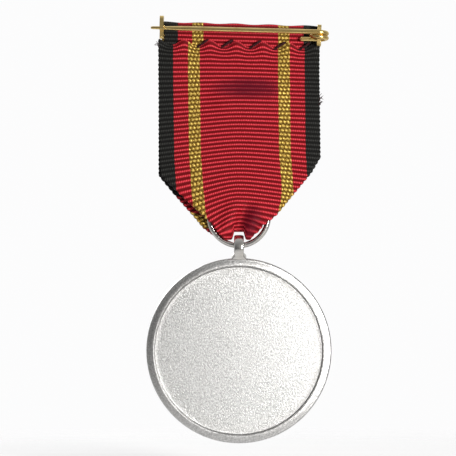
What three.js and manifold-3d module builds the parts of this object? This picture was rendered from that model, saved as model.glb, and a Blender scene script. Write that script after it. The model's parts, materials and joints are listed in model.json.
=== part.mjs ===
// Military service medal: a struck round medal hangs by its eyelet from a plain wire ring, the ring hangs in the
// gathered lower end of a striped ribbon, and the ribbon is sewn over a brass brooch bar with a coiled needle.
//
// Millimetres, +Z up. The origin is the middle of the brooch bar. The medal's front faces -Y, its plain back and the
// needle face +Y, and the medal hangs down along -Z.
import * as THREE from "three";
import { mergeVertices } from "three/addons/utils/BufferGeometryUtils.js";
import Module from "manifold-3d";

const wasm = await Module();
wasm.setup();

// ---- Driving dimensions, in millimetres and degrees --------------------------------------------------------------

const gap = 0.3; // kept between pieces that touch on the real medal

const discDiameter = 35;
const discThickness = 3;
const rimWidth = 1.7;
const backFieldDepth = 0.5;
const frontFieldDepth = 0.7;
const rimEdgeRadius = 0.35;
const wreathInner = 9.6; // the laurel wreath on the front lies between these two radii
const wreathOuter = 14.4;
const wreathHeight = 0.45;

const ringWireDiameter = 1.06;
const ringOuterDiameter = 12.2;
const ringCentreZ = -35.2;

const eyeletWidth = 1.86; // along X
const eyeletOuterDiameter = 4.8;
const eyeletHoleDiameter = 2.4;
const eyeletFootWidth = 2.9;
const eyeletFootDepth = 2.5; // along Y

const ribbonWidth = 30.4;
const ribbonThickness = 0.45;
const layerInnerY = 0.85; // from the middle plane to the inner side of each hanging layer
const layerTopZ = -6.7;
const pinSideEdgeZ = -28; // the catch side's straight edge ends here
const hingeSideEdgeZ = -24.4; // the hinge side's straight edge ends a little higher
const tuckZ = -35.45; // where the folded-in edges reach the sides of the ring
const tuckHalfWidth = 6.2;
const loopHalfThickness = 0.7;

const barTilt = 1.6; // the bar is sewn in slightly askew, its catch end higher
const barHeight = 3.4;
const barThickness = 0.5;
const barTopZ = 0.3;
const catchX = 14.55;
const hingeX = -15.15;
const earThickness = 0.75;
const foldTopZ = 1.06;
const foldBottomZ = -4.9;
const foldOuterY = 0.95;
const hemTopZ = -2.9;
const hemInnerY = 1.2;
const hemThickness = 0.45;

const wireDiameter = 0.84; // the needle's
const coilRadius = 1.38; // to the middle of the wire
const coilTurns = 1.5;
const coilPitch = 0.86;
const coilY = 3.1;
const needleZ = -0.18;
const needleTip = { x: 16.6, y: 3.0 };
const tailLegLength = 3.6;

const stitchCount = 6;
const stitchPitch = 4.8;
const stitchHeight = 1.9;
const stitchDiameter = 0.36;
const stitchSlant = 32; // from the vertical

// ---- Helpers -----------------------------------------------------------------------------------------------------

const axisX = new THREE.Vector3(1, 0, 0);
const axisY = new THREE.Vector3(0, 1, 0);
const axisZ = new THREE.Vector3(0, 0, 1);

// A closed outline in the YZ plane, given as [y, z] points, carried along X from one place to another.
function alongX(shape, fromX, toX) {
  const geometry = new THREE.ExtrudeGeometry(shape, { depth: toX - fromX, bevelEnabled: false, curveSegments: 16 });
  geometry.applyMatrix4(new THREE.Matrix4().makeBasis(axisY, axisZ, axisX));
  return geometry.translate(fromX, 0, 0);
}

// A closed outline in the XZ plane carried along Y from one place to another.
function alongY(shape, fromY, toY) {
  const geometry = new THREE.ExtrudeGeometry(shape, { depth: toY - fromY, bevelEnabled: false, curveSegments: 24 });
  geometry.applyMatrix4(new THREE.Matrix4().makeBasis(axisX, axisZ, axisY.clone().negate()));
  return geometry.translate(0, toY, 0);
}

function outline(points) {
  return new THREE.Shape(points.map(([u, v]) => new THREE.Vector2(u, v)));
}

function solidFrom(geometry) {
  const bare = geometry.clone();
  bare.deleteAttribute("normal");
  bare.deleteAttribute("uv");
  const merged = mergeVertices(bare, 1e-4);
  return new wasm.Manifold(
    new wasm.Mesh({
      numProp: 3,
      vertProperties: merged.attributes.position.array,
      triVerts: new Uint32Array(merged.index.array),
    }),
  );
}

function geometryFrom(solid) {
  const mesh = solid.getMesh();
  const geometry = new THREE.BufferGeometry();
  geometry.setAttribute("position", new THREE.BufferAttribute(mesh.vertProperties, 3));
  geometry.setIndex(new THREE.BufferAttribute(mesh.triVerts, 1));
  const flat = geometry.toNonIndexed();
  flat.computeVertexNormals();
  return flat;
}

function material(color, roughness, metalness) {
  return new THREE.MeshStandardMaterial({ color, roughness, metalness });
}

function piece(name, geometry, look) {
  const mesh = new THREE.Mesh(geometry, look);
  mesh.name = name;
  return mesh;
}

// A round wire along a path, closed at both ends.
function wire(path, diameter, steps, sides) {
  const section = new THREE.Shape();
  section.absarc(0, 0, diameter / 2, 0, 2 * Math.PI);
  return new THREE.ExtrudeGeometry(section, {
    extrudePath: path,
    steps,
    curveSegments: sides,
    bevelEnabled: false,
  });
}

// ---- Materials ---------------------------------------------------------------------------------------------------

const blastedSilver = material(0xc9c9c6, 0.42, 1);
const polishedSilver = material(0xd6d4d0, 0.16, 1);
const brass = material(0xb8902f, 0.28, 1);
const ribbonCloth = material(0x982328, 0.85, 0);
const threadCloth = material(0x3a1416, 0.9, 0);

// ---- Medal -------------------------------------------------------------------------------------------------------

const discRadius = discDiameter / 2;
const fieldRadius = discRadius - rimWidth;
const ringRadius = (ringOuterDiameter - ringWireDiameter) / 2;
const ringBottomZ = ringCentreZ - ringRadius; // the middle of the wire where the medal hangs
const eyeletCentreZ = ringBottomZ - (eyeletHoleDiameter - ringWireDiameter) / 2 + gap;
const discTopZ = eyeletCentreZ - eyeletOuterDiameter / 2 + 0.4;
const discCentreZ = discTopZ - discRadius;

// The struck medal: a raised rim on both sides, a plain field at the back, and a wreath band standing on the front
// field. The profile runs from the front's middle over the rim to the back's middle.
function medalDisc() {
  const front = -discThickness / 2;
  const back = discThickness / 2;
  const frontField = front + frontFieldDepth;
  const wreathTop = frontField - wreathHeight;
  const edge = rimEdgeRadius;
  const profile = [
    [0, frontField],
    [wreathInner, frontField],
    [wreathInner + 0.6, wreathTop],
    [wreathOuter - 0.6, wreathTop],
    [wreathOuter, frontField],
    [fieldRadius, frontField],
    [fieldRadius + 0.15, front],
    [discRadius - edge, front],
    [discRadius - 0.3 * edge, front + 0.3 * edge],
    [discRadius, front + edge],
    [discRadius, back - edge],
    [discRadius - 0.3 * edge, back - 0.3 * edge],
    [discRadius - edge, back],
    [fieldRadius + 0.15, back],
    [fieldRadius, back - backFieldDepth],
    [0, back - backFieldDepth],
  ].map(([radius, y]) => new THREE.Vector2(radius, y));
  const mesh = piece("medal_disc", new THREE.LatheGeometry(profile, 96), blastedSilver);
  mesh.position.z = discCentreZ;
  return mesh;
}

// The eyelet: a short tube round X that the ring passes through, with a foot that widens onto the medal's edge.
function suspensionEyelet() {
  const outer = eyeletOuterDiameter / 2;
  const hole = eyeletHoleDiameter / 2;
  const half = eyeletWidth / 2;
  const chamfer = 0.22;
  const profile = [
    [hole, -half + chamfer],
    [hole + chamfer, -half],
    [outer - chamfer, -half],
    [outer, -half + chamfer],
    [outer, half - chamfer],
    [outer - chamfer, half],
    [hole + chamfer, half],
    [hole, half - chamfer],
    [hole, -half + chamfer],
  ].map(([radius, y]) => new THREE.Vector2(radius, y));
  const tube = new THREE.LatheGeometry(profile, 40).rotateZ(-Math.PI / 2).translate(0, 0, eyeletCentreZ);
  const footTop = eyeletCentreZ - hole + 0.3;
  const footBottom = discTopZ - 0.5;
  const foot = alongY(
    outline([
      [-half, footTop],
      [-eyeletFootWidth / 2, footBottom],
      [eyeletFootWidth / 2, footBottom],
      [half, footTop],
    ]),
    -eyeletFootDepth / 2,
    eyeletFootDepth / 2,
  );
  const hole3 = new THREE.CylinderGeometry(hole, hole, 2 * eyeletFootWidth, 40)
    .rotateZ(Math.PI / 2)
    .translate(0, 0, eyeletCentreZ);
  const seat = new THREE.CylinderGeometry(discRadius + gap, discRadius + gap, 4 * discThickness, 192)
    .translate(0, 0, discCentreZ);
  const solid = solidFrom(tube).add(solidFrom(foot)).subtract(solidFrom(hole3)).subtract(solidFrom(seat));
  return piece("suspension_eyelet", geometryFrom(solid), polishedSilver);
}

function suspensionRing() {
  const mesh = piece(
    "suspension_ring",
    new THREE.TorusGeometry(ringRadius, ringWireDiameter / 2, 12, 64),
    polishedSilver,
  );
  mesh.rotation.x = Math.PI / 2;
  mesh.position.z = ringCentreZ;
  return mesh;
}

// ---- Ribbon ------------------------------------------------------------------------------------------------------

// One hanging layer: the full width below the bar, then folded in on both sides down to the ring.
function ribbonLayer(name, innerY, outerY) {
  const half = ribbonWidth / 2;
  const shape = outline([
    [-half, layerTopZ],
    [-half, hingeSideEdgeZ],
    [-tuckHalfWidth, tuckZ],
    [tuckHalfWidth, tuckZ],
    [half, pinSideEdgeZ],
    [half, layerTopZ],
  ]);
  return piece(name, alongY(shape, Math.min(innerY, outerY), Math.max(innerY, outerY)), ribbonCloth);
}

// The gathered end that lies inside the ring, in two lobes beside the eyelet. It is part of a circle about the
// ring's middle, so that it turns with the ring.
function ribbonRingLoop() {
  const radius = ringOuterDiameter / 2 - ringWireDiameter - gap - 0.04;
  const top = ringCentreZ - 0.7;
  const sideAngle = Math.asin((ringCentreZ - top) / radius);
  const notch = eyeletWidth / 2 + gap;
  const notchAngle = Math.acos(notch / radius);
  const notchTop = ringBottomZ + eyeletOuterDiameter / 2 + gap;
  const shape = new THREE.Shape();
  shape.absarc(0, ringCentreZ, radius, -Math.PI + sideAngle, -Math.PI + notchAngle, false);
  shape.absarc(0, notchTop - notch / 2, notch, Math.PI, 0, true);
  shape.absarc(0, ringCentreZ, radius, -notchAngle, -sideAngle, false);
  return piece("ribbon_ring_loop", alongY(shape, -loopHalfThickness, loopHalfThickness), ribbonCloth);
}

// The ribbon's top fold over the bar: the front leg runs on into the front layer, the back leg is the turned end.
function ribbonTopFold() {
  const outer = foldOuterY;
  const inner = foldOuterY - ribbonThickness;
  const shape = new THREE.Shape();
  shape.moveTo(outer, foldBottomZ);
  shape.absarc(0, foldTopZ - outer, outer, 0, Math.PI, false);
  shape.lineTo(-outer, foldBottomZ);
  shape.lineTo(-inner, foldBottomZ);
  shape.absarc(0, foldTopZ - outer, inner, Math.PI, 0, true);
  shape.lineTo(inner, foldBottomZ);
  const fromX = hingeX + earThickness / 2 + gap;
  const toX = catchX - earThickness / 2 - gap;
  return piece("ribbon_top_fold", alongX(shape, fromX, toX), ribbonCloth);
}

// The pin-side layer's top end, laid over the turned end and sewn to it.
function ribbonHem() {
  const fromX = -ribbonWidth / 2;
  const toX = ribbonWidth / 2;
  const shape = outline([
    [hemInnerY, hemTopZ],
    [hemInnerY, foldBottomZ],
    [hemInnerY + hemThickness, foldBottomZ],
    [hemInnerY + hemThickness, hemTopZ],
  ]);
  return piece("ribbon_hem", alongX(shape, fromX, toX), ribbonCloth);
}

// The sewing thread where it shows: one thread whipped over the hem's top edge, a slanted stitch between each two
// scallops and a straight run back to the next one.
function hemThread() {
  const y = hemInnerY + hemThickness + stitchDiameter / 2 + 0.1;
  const lean = stitchHeight * Math.tan(THREE.MathUtils.degToRad(stitchSlant));
  const path = new THREE.CurvePath();
  let last = null;
  const runTo = (x, z) => {
    const point = new THREE.Vector3(x, y, z);
    if (last) path.add(new THREE.LineCurve3(last, point));
    last = point;
  };
  for (let i = 0; i < stitchCount; i += 1) {
    const x = (i - (stitchCount - 1) / 2) * stitchPitch;
    runTo(x + lean / 2, hemTopZ - stitchHeight / 2);
    runTo(x - lean / 2, hemTopZ + stitchHeight / 2);
  }
  return piece("hem_thread", wire(path, stitchDiameter, 88, 3), threadCloth);
}

// ---- Brooch ------------------------------------------------------------------------------------------------------

// The catch: the bar's end bent out square and cut to a hook, open downwards, that holds the needle.
function catchEar() {
  const back = -barThickness / 2;
  const slotInner = 2.4;
  const slotOuter = 4.3;
  const hookOuter = 5.6;
  const top = 2.04;
  const bottom = -2.1;
  const slotTop = needleZ + wireDiameter / 2 + 0.26;
  const shape = new THREE.Shape();
  shape.moveTo(back, bottom);
  shape.lineTo(slotInner - 0.3, bottom);
  shape.lineTo(slotInner, bottom + 0.3);
  shape.lineTo(slotInner, slotTop - 0.4);
  shape.quadraticCurveTo(slotInner, slotTop, slotInner + 0.4, slotTop);
  shape.lineTo(slotOuter - 0.4, slotTop);
  shape.quadraticCurveTo(slotOuter, slotTop, slotOuter, slotTop - 0.4);
  shape.lineTo(slotOuter, -0.12);
  shape.lineTo(slotOuter + 0.9, -0.62);
  shape.quadraticCurveTo(hookOuter, -0.7, hookOuter, -0.2);
  shape.lineTo(hookOuter, top - 1);
  shape.quadraticCurveTo(hookOuter, top, hookOuter - 1, top);
  shape.lineTo(1.4, top);
  shape.quadraticCurveTo(0.6, top, 0.4, barTopZ + 0.4);
  shape.lineTo(back, barTopZ);
  return alongX(shape, catchX - earThickness / 2, catchX + earThickness / 2);
}

// The hinge ear: the other end bent out square, with a window that leaves an upright band for the needle's coil.
function hingeEar() {
  const back = -barThickness / 2;
  const bandInner = coilY - 0.35;
  const bandOuter = coilY + 0.35;
  const top = 1.28;
  const bottom = -2.75;
  const round = 0.5;
  const shape = new THREE.Shape();
  shape.moveTo(back, bottom);
  shape.lineTo(bandOuter - round, bottom);
  shape.quadraticCurveTo(bandOuter, bottom, bandOuter, bottom + round);
  shape.lineTo(bandOuter, top - round);
  shape.quadraticCurveTo(bandOuter, top, bandOuter - round, top);
  shape.lineTo(1, top);
  shape.lineTo(back, barTopZ);
  const window = new THREE.Path();
  window.moveTo(1.1, -2.2);
  window.lineTo(1.1, 0.62);
  window.lineTo(bandInner, 0.62);
  window.lineTo(bandInner, -2.2);
  shape.holes.push(window);
  return alongX(shape, hingeX - earThickness / 2, hingeX + earThickness / 2);
}

// The bar: a flat brass strip, both ends bent out into ears.
function broochBar() {
  const strip = new THREE.BoxGeometry(catchX - hingeX, barThickness, barHeight).translate(
    (catchX + hingeX) / 2,
    0,
    barTopZ - barHeight / 2,
  );
  const solid = solidFrom(strip).add(solidFrom(catchEar())).add(solidFrom(hingeEar()));
  return piece("brooch_bar", geometryFrom(solid), brass);
}

// The needle: one wire with a blunt tip past the catch, a coil round the hinge ear's band, and a short leg that
// bears on the ribbon.
class NeedlePath extends THREE.Curve {
  constructor() {
    super();
    this.shaft = needleTip.x - hingeX;
    this.coil = 2 * Math.PI * coilRadius * coilTurns;
    this.length = this.shaft + this.coil + tailLegLength;
  }

  getPoint(t, target = new THREE.Vector3()) {
    const along = t * this.length;
    const outerY = coilY + coilRadius;
    if (along < this.shaft) {
      const share = along / this.shaft;
      return target.set(needleTip.x - along, needleTip.y + share * (outerY - needleTip.y), needleZ);
    }
    const turned = Math.min((along - this.shaft) / this.coil, 1);
    const angle = Math.PI / 2 + turned * coilTurns * 2 * Math.PI;
    const leg = Math.max(along - this.shaft - this.coil, 0);
    return target.set(
      hingeX + coilRadius * Math.cos(angle) + leg,
      coilY + coilRadius * Math.sin(angle),
      needleZ - turned * coilTurns * coilPitch,
    );
  }
}

function pinNeedle() {
  return piece("pin_needle", wire(new NeedlePath(), wireDiameter, 128, 5), brass);
}

// ---- Assembly ----------------------------------------------------------------------------------------------------

const brooch = new THREE.Group();
brooch.rotation.y = THREE.MathUtils.degToRad(-barTilt);
brooch.add(broochBar(), pinNeedle(), ribbonTopFold(), ribbonHem(), hemThread());

const group = new THREE.Group();
group.add(
  brooch,
  ribbonLayer("ribbon_front_layer", -layerInnerY - ribbonThickness, -layerInnerY),
  ribbonLayer("ribbon_back_layer", layerInnerY, layerInnerY + ribbonThickness),
  ribbonRingLoop(),
  suspensionRing(),
  suspensionEyelet(),
  medalDisc(),
);

export default group;
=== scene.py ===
"""The finish of a military service medal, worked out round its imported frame.

Cloth, thread and metal are surfaces given by formulas, in millimetres, with looks made of shader nodes.
"""

import json

import bmesh
import bpy
import numpy as np
from bpy.props import FloatProperty, FloatVectorProperty, PointerProperty
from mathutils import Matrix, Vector


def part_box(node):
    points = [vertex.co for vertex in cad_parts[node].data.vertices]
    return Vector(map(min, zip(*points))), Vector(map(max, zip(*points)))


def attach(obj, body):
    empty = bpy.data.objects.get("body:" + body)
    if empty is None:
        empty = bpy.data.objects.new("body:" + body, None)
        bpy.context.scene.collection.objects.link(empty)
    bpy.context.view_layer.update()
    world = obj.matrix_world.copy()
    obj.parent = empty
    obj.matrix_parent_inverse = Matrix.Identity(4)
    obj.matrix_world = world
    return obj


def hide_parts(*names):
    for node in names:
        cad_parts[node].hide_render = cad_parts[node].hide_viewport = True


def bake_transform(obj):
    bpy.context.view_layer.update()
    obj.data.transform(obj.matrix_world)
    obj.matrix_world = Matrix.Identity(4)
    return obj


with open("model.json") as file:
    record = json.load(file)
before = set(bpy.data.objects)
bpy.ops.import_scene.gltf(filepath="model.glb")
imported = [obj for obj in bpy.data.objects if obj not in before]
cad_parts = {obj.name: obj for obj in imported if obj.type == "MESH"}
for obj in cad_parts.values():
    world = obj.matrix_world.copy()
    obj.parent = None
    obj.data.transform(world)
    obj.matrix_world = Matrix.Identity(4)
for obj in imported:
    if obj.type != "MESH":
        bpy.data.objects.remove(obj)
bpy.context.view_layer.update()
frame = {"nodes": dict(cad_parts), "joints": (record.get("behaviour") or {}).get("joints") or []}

bl_info = {
    "name": "Service Medal",
    "version": (1, 0, 0),
    "blender": (4, 5, 0),
    "location": "3D View > Sidebar > Medal",
    "description": "Makes the ribbon, brooch, needle, ring, eyelet and struck medal of a service medal",
    "category": "Add Mesh",
}

MM = 0.001  # one millimetre, in Blender's metres

# ---- Places taken from the frame, in millimetres -------------------------------------------------------


def corners(node):
    """The lowest and highest corner of a node of the frame, in millimetres."""
    low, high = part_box(node)
    return np.array(low) / MM, np.array(high) / MM


JOINTS = {joint["name"]: joint for joint in frame["joints"]}
RING_CENTRE = np.array(JOINTS["ring_turn"]["pos_m"]) / MM
RING_HIGH = corners("suspension_ring")[1]
WIRE_RADIUS = RING_HIGH[1]
RING_RADIUS = RING_HIGH[0] - WIRE_RADIUS
DISC_LOW, DISC_HIGH = corners("medal_disc")
DISC_RADIUS = DISC_HIGH[0]
DISC_HALF = DISC_HIGH[1]
DISC_CENTRE_Z = (DISC_LOW[2] + DISC_HIGH[2]) / 2
HALF_RIBBON = corners("ribbon_back_layer")[1][0]
PIVOT_AXIS = np.array(JOINTS["needle_open"]["axis"])
TILT = -PIVOT_AXIS[0] / PIVOT_AXIS[2]  # how much the bar rises towards the catch, per millimetre along it


# ---- Arrays and meshes ---------------------------------------------------------------------------------


def ease(low, high, value):
    """A smooth step: 0 below low, 1 above high, and 3t^2 - 2t^3 between."""
    t = np.clip((value - low) / (high - low), 0, 1)
    return t * t * (3 - 2 * t)


def follow(knots, value):
    """Straight lines through (place, height) knots, read at value."""
    places, heights = zip(*knots)
    return np.interp(value, places, heights)


def unit(vectors):
    """Vectors drawn out or in to a length of one."""
    return vectors / np.maximum(np.linalg.norm(vectors, axis=-1, keepdims=True), 1e-12)


def grid_quads(rows, columns, first=0, closed_rows=False, closed_columns=False):
    """Quads of a grid whose vertex (i, j) has the number first + i * columns + j."""
    i = np.arange(rows if closed_rows else rows - 1)[:, None]
    j = np.arange(columns if closed_columns else columns - 1)[None, :]
    i2, j2 = (i + 1) % rows, (j + 1) % columns
    quads = np.stack([i * columns + j, i2 * columns + j, i2 * columns + j2, i * columns + j2], axis=-1)
    return quads.reshape(-1, 4) + first


def volume(points, faces):
    """Six times the volume inside the faces, positive where they point outwards."""
    a = points[faces[:, 0]]
    total = 0.0
    for k in range(1, faces.shape[1] - 1):
        total += np.einsum("ij,ij->", a, np.cross(points[faces[:, k]], points[faces[:, k + 1]]))
    return total


def make_object(name, points, faces, uv=None):
    """One object at the origin, from points in millimetres and a list of face arrays, turned outwards."""
    points = np.asarray(points, float)
    if sum(volume(points, part) for part in faces) < 0:
        faces = [part[:, ::-1] for part in faces]
    mesh = bpy.data.meshes.new(name)
    mesh.from_pydata((points * MM).tolist(), [], [face for part in faces for face in part.tolist()])
    mesh.polygons.foreach_set("use_smooth", np.ones(len(mesh.polygons), bool))
    if uv is not None:
        corner = np.empty(len(mesh.loops), np.int32)
        mesh.loops.foreach_get("vertex_index", corner)
        layer = mesh.uv_layers.new(name="weave")
        layer.data.foreach_set("uv", np.asarray(uv, np.float32)[corner].ravel())
    mesh.update()
    made = bpy.data.objects.new(name, mesh)
    bpy.context.scene.collection.objects.link(made)
    return made


def surface_normals(points):
    """Unit normals of a grid of points: the cross product of its two directions."""
    along = np.gradient(points, axis=0)
    across = np.gradient(points, axis=1)
    return unit(np.cross(across, along))


def shell(points, lift_out, lift_in):
    """A closed skin round a grid: one side lifted out along the normals, one side in, joined at the rim."""
    rows, columns = points.shape[:2]
    normals = surface_normals(points)
    outer = points + normals * lift_out[..., None]
    inner = points - normals * lift_in[..., None]
    count = rows * columns
    top = grid_quads(rows, columns)
    bottom = grid_quads(rows, columns, first=count)[:, ::-1]
    index = np.arange(count).reshape(rows, columns)
    rim = np.concatenate([index[0, :], index[1:, -1], index[-1, -2::-1], index[-2:0:-1, 0]])
    after = np.roll(rim, -1)
    wall = np.stack([rim, after, after + count, rim + count], axis=-1)
    return np.concatenate([outer.reshape(-1, 3), inner.reshape(-1, 3)]), [top, bottom, wall]


def tube(path, radius, sides, up=(0, 0, 1)):
    """A round wire along a path: circles of the given radius in planes square to it, closed by flat ends."""
    path = np.asarray(path, float)
    radius = np.broadcast_to(np.asarray(radius, float), len(path))
    tangent = unit(np.gradient(path, axis=0))
    side = unit(np.cross(tangent, np.asarray(up, float)))
    lift = np.cross(side, tangent)
    angle = np.linspace(0, 2 * np.pi, sides, endpoint=False)
    circle = side[:, None] * np.cos(angle)[None, :, None] + lift[:, None] * np.sin(angle)[None, :, None]
    points = (path[:, None] + circle * radius[:, None, None]).reshape(-1, 3)
    quads = grid_quads(len(path), sides, closed_columns=True)
    first = np.arange(sides)[None, :]
    last = first[:, ::-1] + (len(path) - 1) * sides
    if volume(points, quads) < 0:
        quads = quads[:, ::-1]
    else:
        first, last = first[:, ::-1], last[:, ::-1]
    return points, [quads, first[:, ::-1], last[:, ::-1]]


def joined(parts):
    """Several closed meshes as one: their points one after the other, their faces renumbered."""
    points, faces, count = [], [], 0
    for part_points, part_faces in parts:
        points.append(part_points)
        faces += [part + count for part in part_faces]
        count += len(part_points)
    return np.concatenate(points), faces


# ---- Materials -----------------------------------------------------------------------------------------


class Value:
    """A number that varies over a surface. Arithmetic on it adds Math nodes to its graph."""

    def __init__(self, graph, socket):
        self.graph = graph
        self.socket = socket

    def math(self, operation, *others, flip=False):
        """A Math node of this value and others, or of others and this value."""
        terms = [*others, self] if flip else [self, *others]
        made = self.graph.node("ShaderNodeMath", {"operation": operation}, dict(enumerate(terms)))
        return Value(self.graph, made.outputs[0])

    def __add__(self, other):
        return self.math("ADD", other)

    def __sub__(self, other):
        return self.math("SUBTRACT", other)

    def __rsub__(self, other):
        return self.math("SUBTRACT", other, flip=True)

    def __mul__(self, other):
        return self.math("MULTIPLY", other)

    def __truediv__(self, other):
        return self.math("DIVIDE", other)

    def __pow__(self, other):
        return self.math("POWER", other)

    def __abs__(self):
        return self.math("ABSOLUTE")

    __radd__ = __add__
    __rmul__ = __mul__

    def above(self, edge, soft):
        """0 below edge, 1 above edge, with a soft step of that width."""
        return ((self - (edge - soft / 2)) / soft).math("MINIMUM", 1.0).math("MAXIMUM", 0.0)

    def wave(self, period):
        """A cosine of that period, from 0 to 1 and back."""
        return (self * (2 * np.pi / period)).math("COSINE") * 0.5 + 0.5


class Graph:
    """The nodes of a material or a world."""

    def __init__(self, owner):
        owner.use_nodes = True
        self.tree = owner.node_tree
        self.tree.nodes.clear()

    def node(self, kind, settings=None, sockets=None):
        """Any node: its settings first, then each input socket's value or link."""
        made = self.tree.nodes.new(kind)
        for name, value in (settings or {}).items():
            setattr(made, name, value)
        for name, value in (sockets or {}).items():
            self.feed(made.inputs[name], value)
        return made

    def feed(self, socket, value):
        """Links a value or a socket to an input, or sets the input's own number or colour."""
        if isinstance(value, Value):
            value = value.socket
        if isinstance(value, bpy.types.NodeSocket):
            self.tree.links.new(value, socket)
        else:
            socket.default_value = value


# Numbers of the Mix node's sockets where it mixes colours.
MIX_FACTOR, MIX_A, MIX_B, MIX_RESULT = 0, 6, 7, 2


class Paint(Graph):
    """One material: its Principled shader, and the nodes that feed it."""

    def __init__(self, name, **constants):
        self.material = bpy.data.materials.new(name)
        super().__init__(self.material)
        self.shader = self.node("ShaderNodeBsdfPrincipled", {}, constants)
        self.node("ShaderNodeOutputMaterial", {}, {"Surface": self.shader.outputs["BSDF"]})

    def wear(self, **fed):
        """Feeds the shader's own sockets: Base Color, Roughness, Metallic, Normal and so on."""
        for name, value in fed.items():
            self.feed(self.shader.inputs[name.replace("_", " ")], value)
        return self.material

    def across_and_along(self):
        """The cloth's own coordinates, in millimetres: across the ribbon and along it."""
        uv = self.node("ShaderNodeUVMap", {"uv_map": "weave"})
        split = self.node("ShaderNodeSeparateXYZ", {}, {"Vector": uv.outputs["UV"]})
        return uv.outputs["UV"], Value(self, split.outputs["X"]), Value(self, split.outputs["Y"])

    def place(self):
        """Object coordinates, in metres."""
        return self.node("ShaderNodeTexCoord").outputs["Object"]

    def noise(self, vector, scale, detail=2.0, roughness=0.5):
        """Fractal noise read at a vector, from 0 to 1."""
        sockets = {"Vector": vector, "Scale": scale, "Detail": detail, "Roughness": roughness}
        return Value(self, self.node("ShaderNodeTexNoise", {}, sockets).outputs["Fac"])

    def stretched(self, vector, scale):
        """A vector with each of its numbers multiplied."""
        return self.node("ShaderNodeMapping", {}, {"Vector": vector, "Scale": scale}).outputs["Vector"]

    def mix(self, factor, a, b):
        """Two colours mixed by a factor, as a colour socket."""
        settings = {"data_type": "RGBA", "blend_type": "MIX", "clamp_factor": True}
        made = self.node("ShaderNodeMix", settings, {MIX_FACTOR: factor, MIX_A: a, MIX_B: b})
        return made.outputs[MIX_RESULT]

    def bump(self, height, distance, strength=1.0):
        """A normal tilted by a height, which stands for that distance in metres."""
        sockets = {"Height": height, "Distance": distance, "Strength": strength}
        return self.node("ShaderNodeBump", {}, sockets).outputs["Normal"]


def colour(rgb, share=1.0):
    """An opaque colour, with its red, green and blue multiplied by a share."""
    return (*(part * share for part in rgb[:3]), 1.0)


# ---- Settings ------------------------------------------------------------------------------------------


def shade(name, description, default):
    """A colour in the scene's linear red, green and blue."""
    return FloatVectorProperty(
        name=name, description=description, subtype="COLOR", size=3, min=0, max=1, default=default
    )


def length(name, description, default):
    """A length in metres, shown in the scene's units."""
    return FloatProperty(name=name, description=description, unit="LENGTH", precision=5, default=default)


def power(name, description, default):
    """A light's power in watts."""
    return FloatProperty(name=name, description=description, unit="POWER", default=default)


class MedalRibbonSettings(bpy.types.PropertyGroup):
    rib_pitch: length("Rib pitch", "Distance from one rib of the grosgrain to the next", 0.76 * MM)
    rib_height: length("Rib height", "How far a rib stands out of the cloth", 0.17 * MM)
    yarn_pitch: length("Yarn pitch", "Distance from one warp yarn to the next", 0.34 * MM)
    thickness: length("Cloth thickness", "Thickness of the cloth without its ribs", 0.26 * MM)
    red: shade("Red", "Colour of the ribbon's ground", (0.30, 0.0022, 0.0065))
    gold: shade("Gold", "Colour of the metal yarn stripes", (0.207, 0.102, 0.009))
    black: shade("Black", "Colour of the edge stripes", (0.0038, 0.0038, 0.0035))
    thread: shade("Thread", "Colour of the sewing thread", (0.014, 0.003, 0.004))


class MedalMetalSettings(bpy.types.PropertyGroup):
    silver: shade("Polished silver", "Colour of the polished silver plate", (0.64, 0.63, 0.61))
    blasted: shade("Blasted silver", "Colour of the sand-blasted silver plate", (0.6, 0.597, 0.591))
    brass: shade("Brass", "Colour of the brooch's brass", (0.80, 0.60, 0.24))
    blast_grain: length("Blast grain", "Size of the pits left by sand-blasting", 0.16 * MM)


class MedalStageSettings(bpy.types.PropertyGroup):
    floor: shade("Floor", "Colour of the studio floor", (0.86, 0.86, 0.86))
    key_power: power("Key light", "Power of the key light", 1.2)
    fill_power: power("Fill light", "Power of the light on the front", 1.4)
    sky: FloatProperty(name="Sky", description="Brightness of the surrounding light", default=0.75, min=0)
    lens: FloatProperty(name="Lens", description="Focal length of the camera", unit="CAMERA", default=280.0)
    view_width: length("View width", "Width seen by the camera at the medal", 86.27 * MM)


# ---- Ribbon --------------------------------------------------------------------------------------------

# Stripes of one half of the ribbon, from the middle outwards, in millimetres.
GOLD_FROM, GOLD_TO, BLACK_FROM = 7.4, 9.6, 12.4

# Each hanging layer is described by knots over s, the distance below the bar along the ribbon's middle.
BOTTOM_S = 37.88  # the last rib, inside the ring
SPLIT_S = 20.0  # the upper and lower meshes of a layer meet here
SWAY = ((8, 0), (22.7, -0.2), (30, -0.75), (35, -0.7), (BOTTOM_S, 0))  # how far its middle strays sideways
# Its width, as a share of the flat one.
GATHER_BACK = ((20, 1.0), (29, 1.0), (32, 0.96), (34.4, 0.86), (36.3, 0.72), (BOTTOM_S, 0.66))
GATHER_FRONT = ((20, 1.0), (33, 1.0), (35.5, 0.93), (36.8, 0.8), (BOTTOM_S, 0.66))
# How much lower a rib's end lies than its middle, on the catch's side and on the hinge's.
DROP_CATCH = (
    (5, 0), (15, 1.1), (25.3, 1.95), (29.2, 2.5), (30.6, 2.4),
    (33.2, 2.4), (34.4, 2.2), (36.2, 2.05), (BOTTOM_S, 1.5),
)
DROP_HINGE = (
    (5, 0), (15, 0.4), (25.3, 1.3), (29.2, 1.2), (32.2, 0.9), (34.4, 1.1), (36.2, 1.4), (BOTTOM_S, 1.5),
)
# How far its middle surface stands from the middle plane of the medal.
STAND_BACK = (
    (0, 1.42), (10.8, 1.42), (13.2, 1.2), (22, 1.12), (29, 1.3), (34, 1.34), (36, 1.12), (BOTTOM_S, 0.72),
)
STAND_FRONT = (
    (0, 0.72), (2.0, 0.72), (7.5, 1.05), (22, 1.1), (29, 1.28), (34, 1.3), (36, 1.1), (BOTTOM_S, 0.72),
)
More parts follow.
